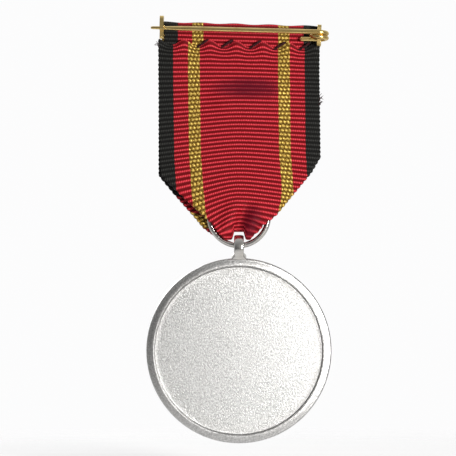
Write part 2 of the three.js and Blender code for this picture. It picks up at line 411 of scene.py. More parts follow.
# Half its visible width at each depth below the bar, up to the fold on each side.
BACK_CATCH_EDGE = (
    (25.5, 16.4), (27.1, 15.2), (35.7, 6.1), (36.7, 4.85), (37.9, 4.3), (38.8, 3.6), (39.4, 2.8), (39.8, 2.0),
)
FRONT_CATCH_EDGE = (
    (25.8, 16.4), (27.4, 15.2), (30.7, 12.5), (35.7, 8.1), (37.7, 6.5), (38.7, 5.2), (39.1, 3.2), (39.6, 2.0),
)
HINGE_EDGE = (
    (22.6, 16.4), (24.3, 15.2), (26.9, 13.7), (28.6, 12.3), (34.9, 7.1),
    (35.9, 5.9), (36.9, 4.6), (38.0, 3.9), (39.6, 2.0),
)
HEM_S = 2.95  # the hem's upper edge
HEM_RADIUS = 0.24
HEM_TURNED = 0.75  # how much of the hem's end is turned under
HEM_TAKE = HEM_TURNED + np.pi * HEM_RADIUS  # length that the hem takes up before the layer hangs
ARCH_ROUND = 3.0  # how rounded the top of each rib's arch is
FOLD_RADIUS = 0.22
FOLD_ROOM = 0.5  # what is folded in stops this far from the middle
SWAY_BLEND = 3.0  # the sway grows to its full size over this distance from the middle
TUCK_LIFT = 0.9  # how much what is folded in rises, at the gathered end
CURL_RADIUS = 0.7  # the layer's last stretch turns in to the middle plane round this
CURL_DROP = 0.2  # how far below its lowest rib it ends
CURL_LENGTH = CURL_RADIUS * np.pi / 2


def turned_edge(along, radius):
    """Cloth turned over an edge at 0: behind it for negative along, round a half circle, then in front.
    Gives the place along the front side and the depth behind it."""
    angle = np.clip(along / radius, 0, np.pi)
    place = np.where(along < 0, -along, -radius * np.sin(angle)) + np.maximum(along - np.pi * radius, 0)
    depth = radius * (1 + np.cos(angle))
    return place, depth


def folded_in(width, edge, radius, room):
    """Cloth folded under at an edge: straight out to it, round a half circle, then back inwards in the room
    left. Gives the distance from the middle and the depth behind the front."""
    start = edge - radius
    past = width - start
    angle = np.clip(past / radius, 0, np.pi)
    back = np.maximum(past - np.pi * radius, 0)
    most = np.maximum(HALF_RIBBON - start - np.pi * radius, 1e-6)
    shrink = np.minimum(1, np.maximum(start - room, 0.1) / most)
    place = np.where(past < 0, width, start + radius * np.sin(angle) - back * shrink)
    depth = radius * (1 - np.cos(angle))
    return place, depth


def layer_height(s, x, z, face):
    """How far a layer stands from the middle plane: off the bar at the top, over the ring's wire, then into
    its hole. A pillow of air between the layers is a parabola across, and the wire pushes up what lies over
    it."""
    stand = follow(STAND_FRONT if face < 0 else STAND_BACK, s)
    pillow = 0.3 * ease(16, 34, s) * np.clip(1 - (x / 9.0) ** 2, 0, 1)
    away = np.hypot(x, z - RING_CENTRE[2])
    over_wire = ease(4.2, 4.95, away) * (1 - ease(6.5, 7.3, away)) * ease(34.5, 36.5, -z)
    inside = (1 - ease(4.0, 5.2, away)) * ease(35.2, 37.2, -z)
    height = (stand + pillow) * (1 - 0.25 * inside)
    return np.maximum(height, 1.02 * over_wire)


def hanging_layer(s, v, face):
    """The middle surface of a hanging layer over s (along the ribbon) and v (across it), on one face of the
    ring. Each weft rib is an arch: its ends lie lower than its middle by the drop, along a hyperbola. The
    width is gathered, and what is wider than the edge at that height is folded in behind."""
    catch_side = v > 0
    if face > 0:
        gather, catch_edge = GATHER_BACK, BACK_CATCH_EDGE
    else:
        gather, catch_edge = GATHER_FRONT, FRONT_CATCH_EDGE
    drop_catch, drop_hinge = follow(DROP_CATCH, s), follow(DROP_HINGE, s)
    drop = np.where(catch_side, drop_catch, drop_hinge)
    edge = np.where(catch_side, follow(catch_edge, s + drop_catch), follow(HINGE_EDGE, s + drop_hinge))
    sway = follow(SWAY, s) * (face > 0)
    beside = np.clip(np.abs(v) / SWAY_BLEND, 0, 1)
    width = np.abs(v) * follow(gather, s) + np.where(catch_side, sway, -sway) * beside
    place, depth = folded_in(width, edge, FOLD_RADIUS, FOLD_ROOM)
    x = np.where(catch_side, place, -place) + sway * (1 - beside)
    span = np.minimum(edge, HALF_RIBBON)
    arch = (np.sqrt(x**2 + ARCH_ROUND**2) - ARCH_ROUND) / (np.sqrt(span**2 + ARCH_ROUND**2) - ARCH_ROUND)
    notch = ease(0.95, 1.5, np.abs(x))  # the last ribs step up to clear the eyelet
    arch = arch + (notch - arch) * ease(35.9, BOTTOM_S, s)
    lean = TILT * x * (1 - ease(4.5, 16, s))
    tucked = np.clip(depth / (2 * FOLD_RADIUS), 0, 1) * ease(34.5, 37.5, s)
    z = -s - drop * arch + lean + TUCK_LIFT * tucked
    height = layer_height(s, x, z, face)
    if face > 0:
        height = height + back_layer_creases(x, z)
    return x, face * (height - depth), z


def curled_in(y, z, past):
    """The layer's last stretch, past its lowest rib: turned in to the middle plane by a quarter of a
    circle."""
    curl = np.clip(past / CURL_RADIUS, 0, np.pi / 2)
    return y * np.cos(curl), z - CURL_DROP * np.sin(curl)


def back_layer_creases(x, z):
    """The dents of the layer on the pin side, sums of bell curves: a low ridge where the turned end stops
    behind it, and a slanted valley that runs down to the eyelet, with a swell beside it."""
    ridge = 0.5 * np.exp(-(((z + 13.2 - 0.03 * x) / 1.9) ** 2)) * ease(-10, -6, x) * (1 - ease(2.5, 6.5, x))
    beside = x + 0.8 + (z + 34.4) * 0.37
    wall = np.where(beside > 0, np.exp(-((beside / 0.85) ** 2)), 1 - ease(0, 2.6, -beside))
    valley = 1.15 * wall * ease(31.5, 35.4, -z)
    swell = 0.5 * np.exp(-(((beside - 2.3) / 1.3) ** 2)) * ease(31.0, 34.6, -z)
    return ridge - valley + swell


def rib_profile(along, pitch):
    """A cord's round back with a narrow groove on each side: the size of a sine, from 0 to 1."""
    return np.abs(np.sin(np.pi * along / pitch))


RIBS_PAST_SHADE_PATCHES = 100  # how far off the patches of painted shade cloth without them has its coordinates
RIB_STEPS = 8  # rows of the mesh in each rib
ACROSS_STEPS = 141  # columns of the mesh from edge to edge


def cloth_object(name, points, across, along, settings, painted_shade):
    """A closed skin of cloth with its ribs standing out on both sides, and its weave coordinates. Cloth
    without the patches of painted shade has its coordinates a whole number of ribs further along."""
    pitch = settings.rib_pitch / MM
    ribs = rib_profile(along, pitch) * (settings.rib_height / MM)
    lift = settings.thickness / MM / 2 + ribs - ribs.mean()
    points, faces = shell(points, lift, lift)
    further = 0 if painted_shade else RIBS_PAST_SHADE_PATCHES * pitch
    uv = np.stack([across.ravel(), along.ravel() + further], axis=-1)
    return make_object(name, points, faces, np.concatenate([uv, uv]))


def cloth_grid(start, stop, settings, across_steps):
    """Rows of along values, a few to each rib, and columns of across values from edge to edge."""
    step = settings.rib_pitch / MM / RIB_STEPS
    along = np.arange(start, stop + step / 2, step)[:, None]
    across = np.linspace(-HALF_RIBBON, HALF_RIBBON, across_steps)[None, :]
    return np.broadcast_arrays(along, across)


def selvedge(x, across, along, pitch):
    """Each rib's end stands out a little as the weft turns back, so the edges are finely scalloped."""
    at_edge = ease(HALF_RIBBON - 0.25, HALF_RIBBON, np.abs(across))
    return x + np.sign(across) * at_edge * 0.06 * np.cos(2 * np.pi * along / pitch)


PUCKER_PITCH = 4.95
PUCKER_X = 0.45  # the middle one of the hem's puckers
STITCH_PLACES = (6.86, 2.02, -2.82, -7.66, -12.5)  # along the hem, from the catch's side


def hem_puckers(x):
    """A squared cosine: 1 at each pucker, where the hem stands up in a point between two stitches, and 0
    where a stitch pulls it down."""
    return np.cos(np.pi * (x - PUCKER_X) / PUCKER_PITCH) ** 2


def back_layer(start, stop, settings, across_steps):
    """The pin-side layer from the hem, which is turned under and pulled into scallops, down to its curl at
    the ring. The scallops are powers of the puckers, and die away exponentially below the hem."""
    along, across = cloth_grid(start, stop, settings, across_steps)
    place, depth = turned_edge(along - HEM_S - HEM_TURNED, HEM_RADIUS)
    x, y, z = hanging_layer(np.minimum(HEM_S + place, BOTTOM_S), across, 1)
    near_hem = np.exp(-np.maximum(place, 0) / 1.15)
    pucker = hem_puckers(x)
    z = z + (0.4 - 1.05 * (1 - pucker**1.4)) * near_hem
    y = y - depth + (0.5 * pucker**2 - 0.22) * near_hem**1.5
    y, z = curled_in(y, z, HEM_S + place - BOTTOM_S)
    x = selvedge(x, across, along, settings.rib_pitch / MM)
    return np.stack([x, y, z], axis=-1), across, along


def front_layer(start, stop, settings, across_steps):
    """The front layer from behind the bar down to its curl at the ring."""
    along, across = cloth_grid(start, stop, settings, across_steps)
    s = np.minimum(along, BOTTOM_S)
    x, y, z = hanging_layer(s, across, -1)
    y, z = curled_in(y, z, along - BOTTOM_S)
    x = selvedge(x * bar_gather(s) + bar_shift(s), across, along, settings.rib_pitch / MM)
    return np.stack([x, y, z], axis=-1), across, along


def bar_gather(s):
    """The ribbon's width as a share of the full one: pushed together between the brooch's ears."""
    return 0.955 + 0.045 * ease(2, 11, s)


def bar_shift(s):
    """How far the ribbon is pushed towards the hinge by the ears, easing out below the bar."""
    return -0.35 * (1 - ease(2, 11, s))


FOLD_TOP_Z = 0.3  # where the fold's half circle starts
FOLD_HALF_DEPTH = 0.72
FLAP_END = -5.6  # the turned end's edge
FRONT_FOLD_S = 4.2  # where the front layer takes over


def top_fold(settings, across_steps):
    """The turned end up the pin side, over the bar, and down the front to where the layer takes over. The
    path is straight, a half circle, then straight, read by its length."""
    rise = FOLD_TOP_Z - FLAP_END
    arc = np.pi * FOLD_HALF_DEPTH
    whole = rise + arc + FOLD_TOP_Z + FRONT_FOLD_S
    along, across = cloth_grid(0, whole, settings, across_steps)
    angle = np.clip((along - rise) / FOLD_HALF_DEPTH, 0, np.pi)
    down = np.maximum(along - rise - arc, 0)
    z = FLAP_END + np.minimum(along, rise) + FOLD_HALF_DEPTH * np.sin(angle) - down
    front_s = down - FOLD_TOP_Z
    stand = layer_height(np.maximum(front_s, 0), across, z, -1)
    y = np.where(down > 0, -stand, FOLD_HALF_DEPTH * np.cos(angle))
    x = across * bar_gather(front_s) + bar_shift(front_s)
    sag = 0.1 * np.sin(across * 0.9 + 0.6) * np.sin(angle) ** 2
    x = selvedge(x, across, along, settings.rib_pitch / MM)
    return np.stack([x, y, z + TILT * x + sag], axis=-1), across, along + (FRONT_FOLD_S - whole)


# Patches of painted shade on the cloth, for the shade in the dent below the turned end and in the crease by
# the eyelet: where across and along it, their half sizes, and how dark they are.
PAINTED_SHADE_PATCHES = ((-2.0, 12.5, 7.6, 2.3, 0.8), (-2.3, 37.3, 2.4, 3.2, 0.72))
RED_HIGHLIGHT = (0.87, 0.08, 0.11)
RED_PAINTED_SHADE = (0.07, 0.001, 0.008)
GOLD_GLINT = (0.70, 0.50, 0.12)


def grosgrain(settings):
    """Ribbed silk: red ground, gold metal-yarn stripes, black edges, and each warp yarn a dot on each rib.
    Its colour holds painted light: the ribs' grooves painted darker and their crests lighter, the dots
    painted as highlights where the crests catch the light, painted glints on the gold, and patches of painted
    shade.
    """
    paint = Paint("grosgrain", **{"Specular IOR Level": 0.1})
    uv, across, along = paint.across_and_along()
    pitch = settings.rib_pitch / MM
    yarn = settings.yarn_pitch / MM
    away = abs(across) + (paint.noise(paint.stretched(uv, (0.3, 1.6, 1)), 1.0) - 0.5) * 0.2
    gold = away.above(GOLD_FROM, 0.1) * (1 - away.above(GOLD_TO, 0.1))
    black = away.above(BLACK_FROM, 0.1)
    crest = (along * (np.pi / pitch)).math("SINE").math("ABSOLUTE")
    row = (along / pitch).math("FLOOR")
    grain = paint.noise(uv, 3.1, 2.0, 0.6)
    patchy = paint.noise(uv, 0.35, 2.0)
    dots = (across + row * (yarn / 2)).wave(yarn) * (grain.above(0.5, 0.35) * 0.6 + 0.5)
    # Painted shade and light of the ribs: the red is darker in the grooves and lighter on the crests, with
    # painted highlight dots where the warp yarns catch the light.
    red_low = paint.mix(patchy, colour(settings.red, 0.30), colour(settings.red, 0.42))
    red_high = paint.mix(dots, colour(settings.red), colour(RED_HIGHLIGHT))
    red = paint.mix(crest**5.0, red_low, red_high)
    # Patches of painted shade darken the red in the dent below the turned end and in the crease by the
    # eyelet.
    for v, s, half_wide, half_long, strength in PAINTED_SHADE_PATCHES:
        from_mark = (abs(across - v) / half_wide) ** 2.0 + (abs(along - s) / half_long) ** 2.0
        mark = (1 - from_mark + (patchy - 0.5) * 0.7).above(0.42, 1.0) * strength
        red = paint.mix(mark, red, colour(RED_PAINTED_SHADE))
    strand = (across + row * 0.31 + (along / pitch) * 0.22).wave(0.73)
    glint = (strand * 0.55 + grain.above(0.5, 0.4) * 0.75).above(0.72, 0.6) * crest
    # The gold is painted darker in the grooves (painted shade), and it carries painted glints on the crests.
    gold_base = paint.mix(crest * (grain + 0.3), colour(settings.gold, 0.30), colour(settings.gold))
    gold_colour = paint.mix(glint, gold_base, colour(GOLD_GLINT))
    # The black carries painted highlights on the crests.
    black_colour = paint.mix(crest**2.0 * dots, colour(settings.black), colour(settings.black, 10))
    base = paint.mix(black, paint.mix(gold, red, gold_colour), black_colour)
    height = crest * (dots * 0.5 + 0.5) + gold * (strand * 0.5) + grain * 0.4
    return paint.wear(
        Base_Color=base,
        Metallic=gold * 0.35,
        Roughness=0.6 - gold * 0.22 - black * 0.04,
        Normal=paint.bump(height, 0.06 * MM, 0.8),
    )


class MedalOperator:
    """What every operator of this add-on shares."""

    bl_options = {"REGISTER", "UNDO"}

    @staticmethod
    def dress(made, material, slot):
        """Gives a piece its only material. The slot is not used."""
        made.data.materials.clear()
        made.data.materials.append(material)
        return made


def shared_material(name, make, settings):
    """The material of that name, made the first time that it is asked for."""
    return bpy.data.materials.get(name) or make(settings)


class MEDAL_OT_ribbon_layers(MedalOperator, bpy.types.Operator):
    """Make the two hanging layers of the ribbon, gathered into the ring"""

    bl_idname = "medal.ribbon_layers"
    bl_label = "Ribbon Layers"

    def execute(self, context):
        settings = context.scene.medal_ribbon
        material = shared_material("grosgrain", grosgrain, settings)
        pitch = settings.rib_pitch / MM
        hem_behind = 1.3  # how far the hem's turned end starts above its edge
        bottom = BOTTOM_S + CURL_LENGTH
        pieces = (
            ("ribbon_back_upper", back_layer, HEM_S - hem_behind, SPLIT_S, "upper", "ribbon_hem"),
            ("ribbon_back_lower", back_layer, SPLIT_S, bottom + HEM_TAKE, "lower", "ribbon_back_layer"),
            ("ribbon_front_upper", front_layer, FRONT_FOLD_S, SPLIT_S, "upper", None),
            ("ribbon_front_lower", front_layer, SPLIT_S, bottom, "lower", "ribbon_front_layer"),
        )
        for name, layer, start, stop, part, replaced in pieces:
            first = np.round(start / pitch * RIB_STEPS) / RIB_STEPS * pitch
            last = np.round(stop / pitch * RIB_STEPS) / RIB_STEPS * pitch
            points, across, along = layer(first, last, settings, ACROSS_STEPS)
            made = cloth_object(name, points, across, along, settings, painted_shade=layer is back_layer)
            self.dress(made, material, "ribbon")
            if replaced:
                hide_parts(replaced)
            if part == "upper":
                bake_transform(made)
            else:
                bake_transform(made)
            rests_on = "suspension_ring_wire" if part == "lower" else "brooch_strip"
            "gathered" if part == "lower" else "hung"
        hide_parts("ribbon_ring_loop")
        return {"FINISHED"}


class MEDAL_OT_ribbon_top(MedalOperator, bpy.types.Operator):
    """Make the ribbon's fold over the brooch bar with its turned end"""

    bl_idname = "medal.ribbon_top"
    bl_label = "Ribbon Top Fold"

    def execute(self, context):
        settings = context.scene.medal_ribbon
        points, across, along = top_fold(settings, ACROSS_STEPS)
        made = cloth_object("ribbon_over_bar", points, across, along, settings, painted_shade=False)
        self.dress(made, shared_material("grosgrain", grosgrain, settings), "ribbon")
        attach(made, "brooch")
        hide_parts("ribbon_top_fold")
        return {"FINISHED"}


# ---- Thread and frayed yarn ----------------------------------------------------------------------------


def thread_paint(settings):
    """Twisted sewing thread: dark, with fine slanted plies."""
    paint = Paint("sewing_thread", **{"Specular IOR Level": 0.15, "Roughness": 0.8})
    place = paint.place()
    ply = paint.noise(paint.stretched(place, (2200, 2200, 5200)), 1.0, 2.0)
    base = paint.mix(ply, colour(settings.thread), colour(settings.thread, 3))
    return paint.wear(Base_Color=base, Normal=paint.bump(ply, 0.04 * MM))


class MEDAL_OT_thread(MedalOperator, bpy.types.Operator):
    """Make the whip stitches over the hem's edge"""

    bl_idname = "medal.thread"
    bl_label = "Hem Thread"

    def execute(self, context):
        settings = context.scene.medal_ribbon
        width, height = 2.1, 1.45  # of one slanted stitch
        foot_z, foot_y = -3.55, 1.22
        strand_offset, strand_radius, twist_turn = 0.085, 0.15, 9
        # The stitches are nearly black and lie where the hem's scallops cast their shadows: their darkness is
        # partly the thread's own and partly painted shade.
        share = np.linspace(0, 1, 24)
        parts = []
        for number, place in enumerate(STITCH_PLACES):
            slip = 0.25 * np.sin(number * 2.1)
            x = place + slip + width / 2 - width * share
            z = foot_z + height * share + TILT * x + 0.1 * np.sin(number * 1.3)
            y = foot_y + 0.45 * np.sin(np.pi * (1 - share) ** 0.7) - 0.25 * (share > 0.97)
            for strand in (-1, 1):
                turn = twist_turn * share
                twist = strand_offset * np.array([np.cos(turn), np.sin(turn)]) * strand
                path = np.stack([x, y + twist[0], z + twist[1]], axis=-1)
                parts.append(tube(path, strand_radius, 8, up=(0, 1, 0)))
        points, faces = joined(parts)
        made = make_object("hem_stitches", points, faces)
        self.dress(made, shared_material("sewing_thread", thread_paint, settings), "thread")
        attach(made, "brooch")
        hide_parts("hem_thread")
        return {"FINISHED"}


class MEDAL_OT_loose_yarn(MedalOperator, bpy.types.Operator):
    """Make the frayed yarn ends at the ribbon's edge and at the hem's corner"""

    bl_idname = "medal.loose_yarn"
    bl_label = "Loose Yarn"

    def execute(self, context):
        settings = context.scene.medal_ribbon
        random = np.random.default_rng(7)
        share = np.linspace(0, 1, 12)
        tufts = (
            ("frayed_edge", "ribbon", (-HALF_RIBBON + 0.15, 1.1, -13.4), (-0.8, 0.1, 0.6), 16, 0.75, 1.0),
            ("frayed_hem_corner", "brooch", (HALF_RIBBON - 0.2, 1.3, -2.9), (0.5, 0.4, 0.8), 10, 0.9, 0.5),
        )
        for name, body, root, lean, count, reach, spread in tufts:
            parts = []
            for _ in range(count):
                start = np.array(root) + random.uniform(-0.5, 0.5, 3) * (0.2, 0.3, 2 * spread)
                way = unit(np.array(lean) + random.normal(0, 0.45, 3)) * reach * random.uniform(0.5, 1.2)
                bend = random.normal(0, 0.3, 3) * reach
                path = start + share[:, None] * way + (share**2)[:, None] * bend
                parts.append(tube(path, 0.085 * (1 - 0.6 * share), 6, up=(0.2, 1, 0.1)))
            made = make_object(name, *joined(parts))
            self.dress(made, shared_material("sewing_thread", thread_paint, settings), "thread")
            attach(made, body)
        return {"FINISHED"}


# ---- Metal ---------------------------------------------------------------------------------------------

SILVER_TARNISH = (0.62, 0.58, 0.5)
BRASS_TARNISH = (0.42, 0.27, 0.08)


def blasted_silver(settings):
    """Silver plate over a sand-blasted surface: two sizes of pits, their floors painted darker as painted
    shade, and a cloudy tone."""
    paint = Paint("blasted_plate", **{"Metallic": 1.0})
    place = paint.place()
    grain = settings.blast_grain
    coarse = paint.noise(place, 0.5 / grain, 2.0, 0.6)
    fine = paint.noise(place, 1.3 / grain, 2.0, 0.6)
    cloud = paint.noise(place, 160.0, 3.0)
    relief = coarse * 0.5 + fine * 0.5
    pits = relief.above(0.5, 0.4)
    # The pit floors are painted darker: painted shade of the blasted grain.
    pit_shade = relief.above(0.5, 0.14)
    tone = paint.mix(pit_shade, colour(settings.blasted, 0.58), colour(settings.blasted))
    base = paint.mix(cloud * 0.3, tone, colour(settings.blasted, 0.74))
    return paint.wear(
        Base_Color=base,
        Roughness=0.3 + cloud * 0.05 + pits * 0.04,
        Normal=paint.bump(pits, 0.05 * MM, 0.5),
    )


def polished_silver(settings):
    """Polished silver plate with faint drawing lines and warm tarnish in patches."""
    paint = Paint("polished_plate", **{"Metallic": 1.0})
    place = paint.place()
    patch = paint.noise(place, 420.0, 3.0)
    lines = paint.noise(paint.stretched(place, (9000, 1500, 9000)), 1.0, 2.0)
    base = paint.mix(patch.above(0.52, 0.3) * 0.35, colour(settings.silver), colour(SILVER_TARNISH))
    return paint.wear(
        Base_Color=base, Roughness=0.12 + patch * 0.14, Normal=paint.bump(lines + patch * 2, 0.02 * MM, 0.4)
    )


def polished_brass(settings):
    """Yellow brass, polished, with tarnish and small dents."""
    paint = Paint("polished_brass", **{"Metallic": 1.0})
    place = paint.place()
    patch = paint.noise(place, 350.0, 4.0)
    dents = paint.noise(place, 1600.0, 2.0)
    base = paint.mix(patch.above(0.55, 0.35) * 0.6, colour(settings.brass), colour(BRASS_TARNISH))
    return paint.wear(
        Base_Color=base, Roughness=0.16 + patch * 0.16, Normal=paint.bump(dents, 0.02 * MM, 0.35)
    )


def closed_loop(name, x, y, z):
    """One object from a grid that closes both ways, as a ring does: round its path, and round its section."""
    points = np.stack(np.broadcast_arrays(x, y, z), axis=-1)
    rows, columns = points.shape[:2]
    quads = grid_quads(rows, columns, closed_rows=True, closed_columns=True)
    return make_object(name, points.reshape(-1, 3), [quads])


def loop_angles(around_steps, about_steps):
    """Angles round a ring, as a column, and round its section, as a row."""
    around = np.linspace(0, 2 * np.pi, around_steps, endpoint=False)[:, None]
    about = np.linspace(0, 2 * np.pi, about_steps, endpoint=False)[None, :]
    return around, about


class MEDAL_OT_ring(MedalOperator, bpy.types.Operator):
    """Make the suspension ring of round wire"""

    bl_idname = "medal.ring"
    bl_label = "Suspension Ring"

    def execute(self, context):
        around, about = loop_angles(160, 28)
        out = RING_RADIUS + WIRE_RADIUS * np.cos(about)
        z = RING_CENTRE[2] + out * np.sin(around)
        made = closed_loop("suspension_ring_wire", out * np.cos(around), WIRE_RADIUS * np.sin(about), z)
        settings = context.scene.medal_metal
        self.dress(made, shared_material("polished_plate", polished_silver, settings), "polished_silver")
        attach(made, "ring")
        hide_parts("suspension_ring")
        return {"FINISHED"}


def rounded_box(angle, half_wide, half_deep, power=4.0):
    """A section between a rectangle and an ellipse: cosines and sines drawn out by a root."""
    c, s = np.cos(angle), np.sin(angle)
    wide = half_wide * np.sign(c) * np.abs(c) ** (2 / power)
    deep = half_deep * np.sign(s) * np.abs(s) ** (2 / power)
    return wide, deep


class MEDAL_OT_eyelet(MedalOperator, bpy.types.Operator):
    """Make the eyelet with its foot soldered to the medal"""

    bl_idname = "medal.eyelet"
    bl_label = "Suspension Eyelet"

    def execute(self, context):
        outer, top_z = corners("suspension_eyelet")[1][1:]
        hole = 0.5 * outer
        half_wide, solder = 0.93, 0.16  # the solder thickens the band where it meets the medal
        around, about = loop_angles(160, 40)
        foot = ease(0.62, 1.0, -np.sin(around))
        wide, deep = rounded_box(about, half_wide + 0.5 * foot, (outer - hole) / 2 + solder * foot)
        out = (outer + hole) / 2 + deep + solder * foot
        y = out * np.cos(around) * (1 + 0.1 * foot)
        made = closed_loop("eyelet_and_solder", wide, y, top_z - outer + out * np.sin(around))
        settings = context.scene.medal_metal
        self.dress(made, shared_material("polished_plate", polished_silver, settings), "polished_silver")
        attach(made, "medal")
        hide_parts("suspension_eyelet")
        return {"FINISHED"}


RIM_WIDTH = 1.7
RIM_CROWN = 0.21  # how much the rim rises from its outer edge to its inner one
FIELD_DEPTH = 0.5
FRONT_FIELD_RISE = -0.2  # the front's field is deeper, to leave room for its relief
STAR_HEIGHT, STAR_STEP, STAR_REACH = 0.46, 0.1, 6.9
WREATH_RADIUS = 12.0
LEAF_PITCH = 0.2  # angle from one leaf to the next
LEAF_HALF_LENGTH, LEAF_HALF_WIDTH = 1.5, 0.62


def disc_profile():
    """Half of the medal's section as rows of (radius, height), from the edge in: an arc at the edge, the
    rim that rises as a quarter of a sine, an arc, a wall that leans in a little, and an arc down to the
    field."""
    field = DISC_RADIUS - RIM_WIDTH
    edge, fillet, lean = 0.42, 0.1, 0.16
    arc = np.linspace(0, np.pi / 2, 9)
    shoulder = DISC_HALF - RIM_CROWN
    floor = DISC_HALF - FIELD_DEPTH
    inner, outer = field + lean, DISC_RADIUS - edge
    share = np.linspace(0.06, 1, 12)
    fall = np.linspace(0.9, 0.1, 4)
    back_arc = arc[-2::-1]
    sections = (
        (DISC_RADIUS - edge + edge * np.cos(arc), shoulder - edge + edge * np.sin(arc)),
        (outer + (inner + fillet - outer) * share, shoulder + RIM_CROWN * np.sin(share * np.pi / 2)),
        (inner + fillet * np.sin(back_arc), DISC_HALF - fillet + fillet * np.cos(back_arc)),
        (field + lean * fall, floor + fillet + (FIELD_DEPTH - 2 * fillet) * fall),
        (field - fillet + fillet * np.cos(arc), floor + fillet - fillet * np.sin(arc)),
    )
    return np.concatenate([np.stack(section, axis=-1) for section in sections])


def wreath_relief(x, z):
    """Height of the front's laurel wreath: pointed leaves along two stems that rise from a tie at the
    bottom. The stem is a bell curve across, and each leaf a sharpened ellipse with a midrib."""
    radius = np.hypot(x, z)
    angle = np.abs(np.arctan2(x, -z))  # 0 at the bottom, pi at the top, both sides alike
    from_stem = radius - WREATH_RADIUS
    height = 0.16 * np.exp(-((from_stem / 0.3) ** 2)) * (1 - ease(2.66, 2.76, angle))
    for row, (lean, offset) in enumerate(((0.5, 1.15), (-0.5, -1.15), (0.0, 0.0))):
        place = (angle - 0.22 - row * LEAF_PITCH / 3) / LEAF_PITCH
        number = np.clip(np.round(place), 0, 12)
        along = (place - number) * LEAF_PITCH * WREATH_RADIUS
        beside = from_stem - offset
        u = along * np.cos(lean) + beside * np.sin(lean)
        w = -along * np.sin(lean) + beside * np.cos(lean)
        half_width = LEAF_HALF_WIDTH * (1 - 0.28 * u / LEAF_HALF_LENGTH)  # wider towards the stem
        leaf = 1 - (np.abs(u) / LEAF_HALF_LENGTH) ** 2 - (np.abs(w) / half_width) ** 2
        body = np.sqrt(np.clip(leaf, 0, 1))
        midrib = 0.12 * np.exp(-((w / 0.09) ** 2)) * (leaf > 0)
        height = np.maximum(height, (0.42 + 0.06 * row) * body - midrib * body)
    tie = ease(0.2, 0.13, angle) * ease(1.5, 1.2, np.abs(from_stem))
    return np.maximum(height, 0.5 * tie * (0.8 + 0.2 * np.cos(9 * from_stem)))


def star_relief(x, z):
    """Height of the front's plain eight-pointed star: facets that fall from each point's ridge to a
    straight edge, by the law of sines."""
    radius = np.hypot(x, z)
    angle = np.arctan2(x, z)
    sector = np.abs((angle + np.pi / 8) % (np.pi / 4) - np.pi / 8)
    half_point = np.radians(20)
    reach = STAR_REACH * np.sin(half_point) / np.sin(half_point + sector * 1.9)
    facet = np.clip((reach - radius) / STAR_REACH, 0, 1) ** 0.85
    return STAR_HEIGHT * facet + STAR_STEP * ease(0, 0.15, reach - radius)


class MEDAL_OT_disc(MedalOperator, bpy.types.Operator):
    """Make the struck medal: plain back, rims, and a wreath and star on the front"""

    bl_idname = "medal.disc"
    bl_label = "Struck Medal"

    def execute(self, context):
        segments = 384
        half_section = disc_profile()
        field, floor = half_section[-1]
        front_rows = np.linspace(field, 0.0, 150)[1:-1]
        back_rows = np.linspace(field, 0.0, 22)[1:-1]
        back = np.concatenate([half_section, [(r, floor) for r in back_rows]])
        front = np.concatenate([half_section, [(r, floor + FRONT_FIELD_RISE) for r in front_rows]])
        section = np.concatenate([back[::-1], front * (1, -1)])
        angle = np.linspace(0, 2 * np.pi, segments, endpoint=False)[None, :]
        radius, y = section[:, :1], section[:, 1:] + 0 * angle
        x, z = radius * np.sin(angle), radius * np.cos(angle)
        front_field = (y < 0) & (radius < field - 0.2)
        relief = np.maximum(wreath_relief(x, z), star_relief(x, z))
        y = np.where(front_field, y - relief, y)
        points = np.stack([x, y, z + DISC_CENTRE_Z], axis=-1).reshape(-1, 3)
        rows = len(section)
        star_top = -front[-1, 1] - (STAR_HEIGHT + STAR_STEP)
        poles = np.array([[0, back[-1, 1], DISC_CENTRE_Z], [0, star_top, DISC_CENTRE_Z]])
        turn = np.arange(segments)
        next_turn = np.roll(turn, -1)
        back_fan = np.stack([turn, next_turn, np.full(segments, rows * segments)], axis=-1)
        last = (rows - 1) * segments
        front_fan = np.stack([last + next_turn, last + turn, np.full(segments, rows * segments + 1)], axis=-1)
        quads = grid_quads(rows, segments, closed_columns=True)
        if volume(points, quads) < 0:
            quads = quads[:, ::-1]
        points = np.concatenate([points, poles])
        if volume(points, back_fan) < 0:
            back_fan, front_fan = back_fan[:, ::-1], front_fan[:, ::-1]
        made = make_object("struck_medal", points, [quads, back_fan, front_fan])
        settings = context.scene.medal_metal
        self.dress(made, shared_material("blasted_plate", blasted_silver, settings), "blasted_silver")
        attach(made, "medal")
        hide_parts("medal_disc")
        return {"FINISHED"}


class MEDAL_OT_brooch(MedalOperator, bpy.types.Operator):
    """Finish the brooch strip with its two ears: the frame's shape with softened edges"""

    bl_idname = "medal.brooch"
    bl_label = "Brooch Strip"

    def execute(self, context):
        copy = frame["nodes"]["brooch_bar"].data.copy()
        work = bmesh.new()
        work.from_mesh(copy)
        bmesh.ops.remove_doubles(work, verts=work.verts, dist=0.002 * MM)
        bmesh.ops.dissolve_limit(work, angle_limit=0.02, verts=work.verts, edges=work.edges)
        work.to_mesh(copy)
        work.free()
        made = bpy.data.objects.new("brooch_strip", copy)
        context.scene.collection.objects.link(made)
        bevel = made.modifiers.new("soft_edges", "BEVEL")
        bevel.width = 0.09 * MM
        bevel.segments = 3
        bevel.angle_limit = 0.6
        settings = context.scene.medal_metal
        self.dress(made, shared_material("polished_brass", polished_brass, settings), "brass")
        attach(made, "brooch")
        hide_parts("brooch_bar")
        return {"FINISHED"}


NEEDLE_TIP = (16.6, 3.0)  # x and y
NEEDLE_Z = -0.18
HINGE_X = -15.15
COIL_Y = 3.1
COIL_RADIUS = 1.38
COIL_TURNS = 1.5
COIL_PITCH = 0.86
LEG_LENGTH = 3.6
NEEDLE_RADIUS = 0.45


